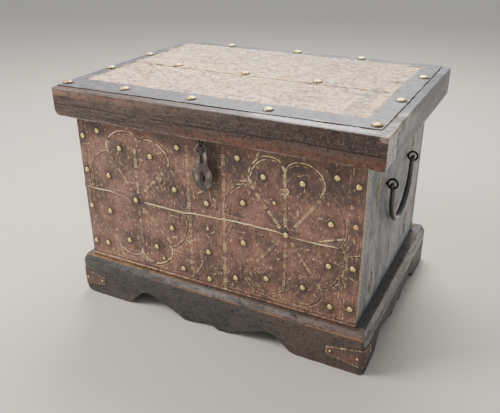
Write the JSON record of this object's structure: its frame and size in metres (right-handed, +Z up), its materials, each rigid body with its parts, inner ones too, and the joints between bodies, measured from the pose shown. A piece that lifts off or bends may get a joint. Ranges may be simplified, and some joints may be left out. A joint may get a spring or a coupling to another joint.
{
  "type": "dowry chest",
  "caption": "Rectangular wooden storage chest faced with tooled leather, with an overhanging hinged lid, a hasp, side bail handles and a scalloped plinth.",
  "frame": {"origin": "on the floor under the middle of the lid, which reaches furthest both ways", "axes": "+X along the front to the right, +Y from the front to the back, +Z up"},
  "size_m": [0.7, 0.513, 0.5025],
  "materials": {
    "front_leather": "tooled red-brown leather, satin, rubbed tan on the raised lines",
    "side_leather": "dark brown leather, worn, light scuffs",
    "lid_leather": "leather worn to a pale, mottled beige",
    "strap_leather": "smooth dark leather with a soft sheen",
    "brass": "pale, rubbed brass",
    "plinth_wood": "dark grey-brown timber, worn arrises",
    "lid_wood": "dark red-brown timber, open grain",
    "carcase_wood": "plain sawn timber, aged",
    "iron": "hand-forged iron, dark and dull"
  },
  "bodies": {
    "chest": {"plinth_front": "plinth_wood", "plinth_right": "plinth_wood", "plinth_back": "plinth_wood", "plinth_left": "plinth_wood", "base_moulding_front": "plinth_wood", "base_moulding_right": "plinth_wood", "base_moulding_back": "plinth_wood", "base_moulding_left": "plinth_wood", "front_board": "carcase_wood", "back_board": "carcase_wood", "left_board": "carcase_wood", "right_board": "carcase_wood", "bottom_board": "carcase_wood", "front_leather_upper": "front_leather", "front_leather_lower": "front_leather", "left_side_leather": "side_leather", "right_side_leather": "side_leather", "front_studs": "brass", "corner_strap_left": "front_leather", "corner_strap_right": "front_leather", "corner_strap_tacks": "brass", "front_staple": "iron", "handle_eye_left_front": "iron", "handle_eye_left_back": "iron", "handle_eye_right_front": "iron", "handle_eye_right_back": "iron", "hinge_body_leaf_left": "iron", "hinge_body_leaf_right": "iron", "hinge_pin_left": "iron", "hinge_pin_right": "iron", "hinge_nails_body": "iron"},
    "lid": {"lid_rail_front": "lid_wood", "lid_rail_back": "lid_wood", "lid_rail_left": "lid_wood", "lid_rail_right": "lid_wood", "lid_board_front": "carcase_wood", "lid_board_back": "carcase_wood", "lid_batten": "carcase_wood", "lid_leather_front": "lid_leather", "lid_leather_back": "lid_leather", "lid_strap_front": "strap_leather", "lid_strap_back": "strap_leather", "lid_strap_left": "strap_leather", "lid_strap_right": "strap_leather", "lid_studs": "brass", "hasp_staple": "iron", "hinge_lid_leaf_left": "iron", "hinge_lid_leaf_right": "iron", "hinge_nails_lid": "iron"},
    "hasp": {"hasp": "iron"},
    "bail_right": {"bail_right": "iron"},
    "bail_left": {"bail_left": "iron"}
  },
  "joints": [
    {"name": "lid_hinge", "type": "hinge", "parent": "chest", "child": "lid", "pos_m": [0, 0.2184, 0.4286], "axis": [-1, 0, 0], "range_deg": [0, 97]},
    {"name": "hasp_swing", "type": "hinge", "parent": "lid", "child": "hasp", "pos_m": [-0.003, -0.2455, 0.424], "axis": [-1, 0, 0], "range_deg": [-6, 115]},
    {"name": "bail_right_swing", "type": "hinge", "parent": "chest", "child": "bail_right", "pos_m": [0.327, -0.0155, 0.34347], "axis": [0, -1, 0], "range_deg": [-2, 155]},
    {"name": "bail_left_swing", "type": "hinge", "parent": "chest", "child": "bail_left", "pos_m": [-0.327, -0.0155, 0.34347], "axis": [0, 1, 0], "range_deg": [-2, 155]}
  ]
}
